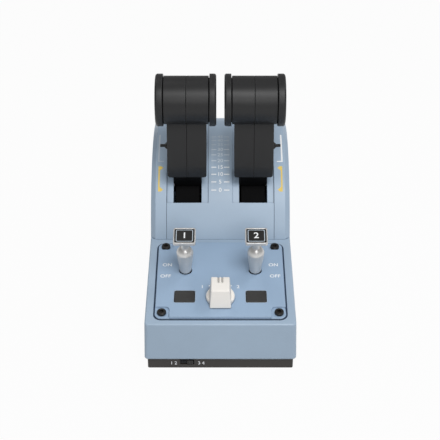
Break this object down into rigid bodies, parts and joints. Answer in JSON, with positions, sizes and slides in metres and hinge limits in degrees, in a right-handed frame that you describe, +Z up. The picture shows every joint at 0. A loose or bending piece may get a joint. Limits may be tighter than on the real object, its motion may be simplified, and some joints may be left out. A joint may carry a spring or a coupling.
{
  "type": "throttle quadrant",
  "caption": "Desktop throttle quadrant: paired lever throttles over a domed housing, with a sloping panel of toggles, a selector and push buttons.",
  "frame": {"origin": "middle of the footprint, on the surface the feet stand on", "axes": "+X to the right, +Y away from the pilot, +Z up"},
  "size_m": [0.12, 0.2395, 0.1961],
  "materials": {
    "housing_blue": "fine moulded texture, satin",
    "panel_blue": "fine moulded texture, satin, printed marks",
    "tray_black": "fine moulded texture",
    "lever_black": "soft satin moulded",
    "latch_black": "smooth matte",
    "button_grey": "smooth satin",
    "selector_cream": "smooth satin",
    "toggle_satin": "bead blasted satin",
    "legend_black": "gloss with printed figure",
    "screw_black": "black oxide",
    "bracket_grey": "glass-filled moulding",
    "bracket_steel": "plain",
    "board_green": "solder resist",
    "rubber": "matte",
    "brass": "turned"
  },
  "bodies": {
    "root": {"angle_sensors": "bracket_grey", "base_screws": "screw_black", "base_tray": "tray_black", "button_switch_left": "bracket_grey", "button_switch_right": "bracket_grey", "centre_bracket": "bracket_grey", "cheek_left": "housing_blue", "cheek_right": "housing_blue", "detent_bracket_left": "bracket_steel", "detent_bracket_right": "bracket_steel", "dome_cover": "housing_blue", "engine_panel": "panel_blue", "friction_washers": "bracket_grey", "lower_shell": "housing_blue", "main_board": "board_green", "mount_inserts": "brass", "panel_screws": "screw_black", "pivot_shaft": "bracket_steel", "rubber_feet": "rubber", "selector_switch": "bracket_grey", "slide_switch": "bracket_grey", "toggle_switch_1": "bracket_grey", "toggle_switch_2": "bracket_grey", "usb_socket": "bracket_steel"},
    "lever_left": {"lever_arm_left": "lever_black", "grip_outer_left": "lever_black", "grip_inner_left": "lever_black", "flange_outer_left": "lever_black", "flange_inner_left": "lever_black", "dust_sector_left": "lever_black", "dust_drum_left": "lever_black", "detent_follower_left": "bracket_steel"},
    "disconnect_left": {"disconnect_button_left": "latch_black"},
    "latch_left": {"latch_tab_left": "latch_black"},
    "button_left": {"push_button_left": "button_grey"},
    "lever_right": {"lever_arm_right": "lever_black", "grip_outer_right": "lever_black", "grip_inner_right": "lever_black", "flange_outer_right": "lever_black", "flange_inner_right": "lever_black", "dust_sector_right": "lever_black", "dust_drum_right": "lever_black", "detent_follower_right": "bracket_steel"},
    "disconnect_right": {"disconnect_button_right": "latch_black"},
    "latch_right": {"latch_tab_right": "latch_black"},
    "button_right": {"push_button_right": "button_grey"},
    "toggle_tilt_1": {"toggle_yoke_1": "bracket_steel"},
    "toggle_lift_1": {"toggle_sleeve_1": "toggle_satin", "toggle_tile_1": "toggle_satin", "toggle_legend_1": "legend_black"},
    "toggle_tilt_2": {"toggle_yoke_2": "bracket_steel"},
    "toggle_lift_2": {"toggle_sleeve_2": "toggle_satin", "toggle_tile_2": "toggle_satin", "toggle_legend_2": "legend_black"},
    "selector": {"selector_knob": "selector_cream"},
    "slide": {"slide_knob": "button_grey"}
  },
  "joints": [
    {"name": "throttle_left", "type": "hinge", "parent": "root", "child": "lever_left", "pos_m": [0, 0.0672, 0.02896], "axis": [-1, 0, 0], "range_deg": [-10, 38]},
    {"name": "disconnect_press_left", "type": "slide", "parent": "lever_left", "child": "disconnect_left", "axis": [1, 0, 0], "range_m": [0, 0.0012], "stiffness_N_per_m": 800, "springref_m": -0.0005},
    {"name": "latch_pull_left", "type": "slide", "parent": "lever_left", "child": "latch_left", "axis": [0, 0, 1], "range_m": [0, 0.005], "stiffness_N_per_m": 300, "springref_m": -0.001},
    {"name": "button_press_left", "type": "slide", "parent": "root", "child": "button_left", "axis": [0, 0.1564, -0.9877], "range_m": [0, 0.001], "stiffness_N_per_m": 800, "springref_m": -0.0005},
    {"name": "throttle_right", "type": "hinge", "parent": "root", "child": "lever_right", "pos_m": [0, 0.0672, 0.02896], "axis": [-1, 0, 0], "range_deg": [-10, 38]},
    {"name": "disconnect_press_right", "type": "slide", "parent": "lever_right", "child": "disconnect_right", "axis": [-1, 0, 0], "range_m": [0, 0.0012], "stiffness_N_per_m": 800, "springref_m": -0.0005},
    {"name": "latch_pull_right", "type": "slide", "parent": "lever_right", "child": "latch_right", "axis": [0, 0, 1], "range_m": [0, 0.005], "stiffness_N_per_m": 300, "springref_m": -0.001},
    {"name": "button_press_right", "type": "slide", "parent": "root", "child": "button_right", "axis": [0, 0.1564, -0.9877], "range_m": [0, 0.001], "stiffness_N_per_m": 800, "springref_m": -0.0005},
    {"name": "toggle_tilt_1", "type": "hinge", "parent": "root", "child": "toggle_tilt_1", "pos_m": [-0.0283, -0.05944, 0.04944], "axis": [-1, 0, 0], "range_deg": [0, 16]},
    {"name": "toggle_lift_1", "type": "slide", "parent": "toggle_tilt_1", "child": "toggle_lift_1", "axis": [0, -0.2588, 0.9659], "range_m": [0, 0.003], "stiffness_N_per_m": 300, "springref_m": -0.001},
    {"name": "toggle_tilt_2", "type": "hinge", "parent": "root", "child": "toggle_tilt_2", "pos_m": [0.0283, -0.05944, 0.04944], "axis": [-1, 0, 0], "range_deg": [0, 16]},
    {"name": "toggle_lift_2", "type": "slide", "parent": "toggle_tilt_2", "child": "toggle_lift_2", "axis": [0, -0.2588, 0.9659], "range_m": [0, 0.003], "stiffness_N_per_m": 300, "springref_m": -0.001},
    {"name": "selector_turn", "type": "hinge", "parent": "root", "child": "selector", "pos_m": [0, -0.09265, 0.05329], "axis": [0, -0.1564, 0.9877], "range_deg": [-45, 45]},
    {"name": "slide_shift", "type": "slide", "parent": "root", "child": "slide", "axis": [1, 0, 0], "range_m": [-0.005, 0]}
  ]
}
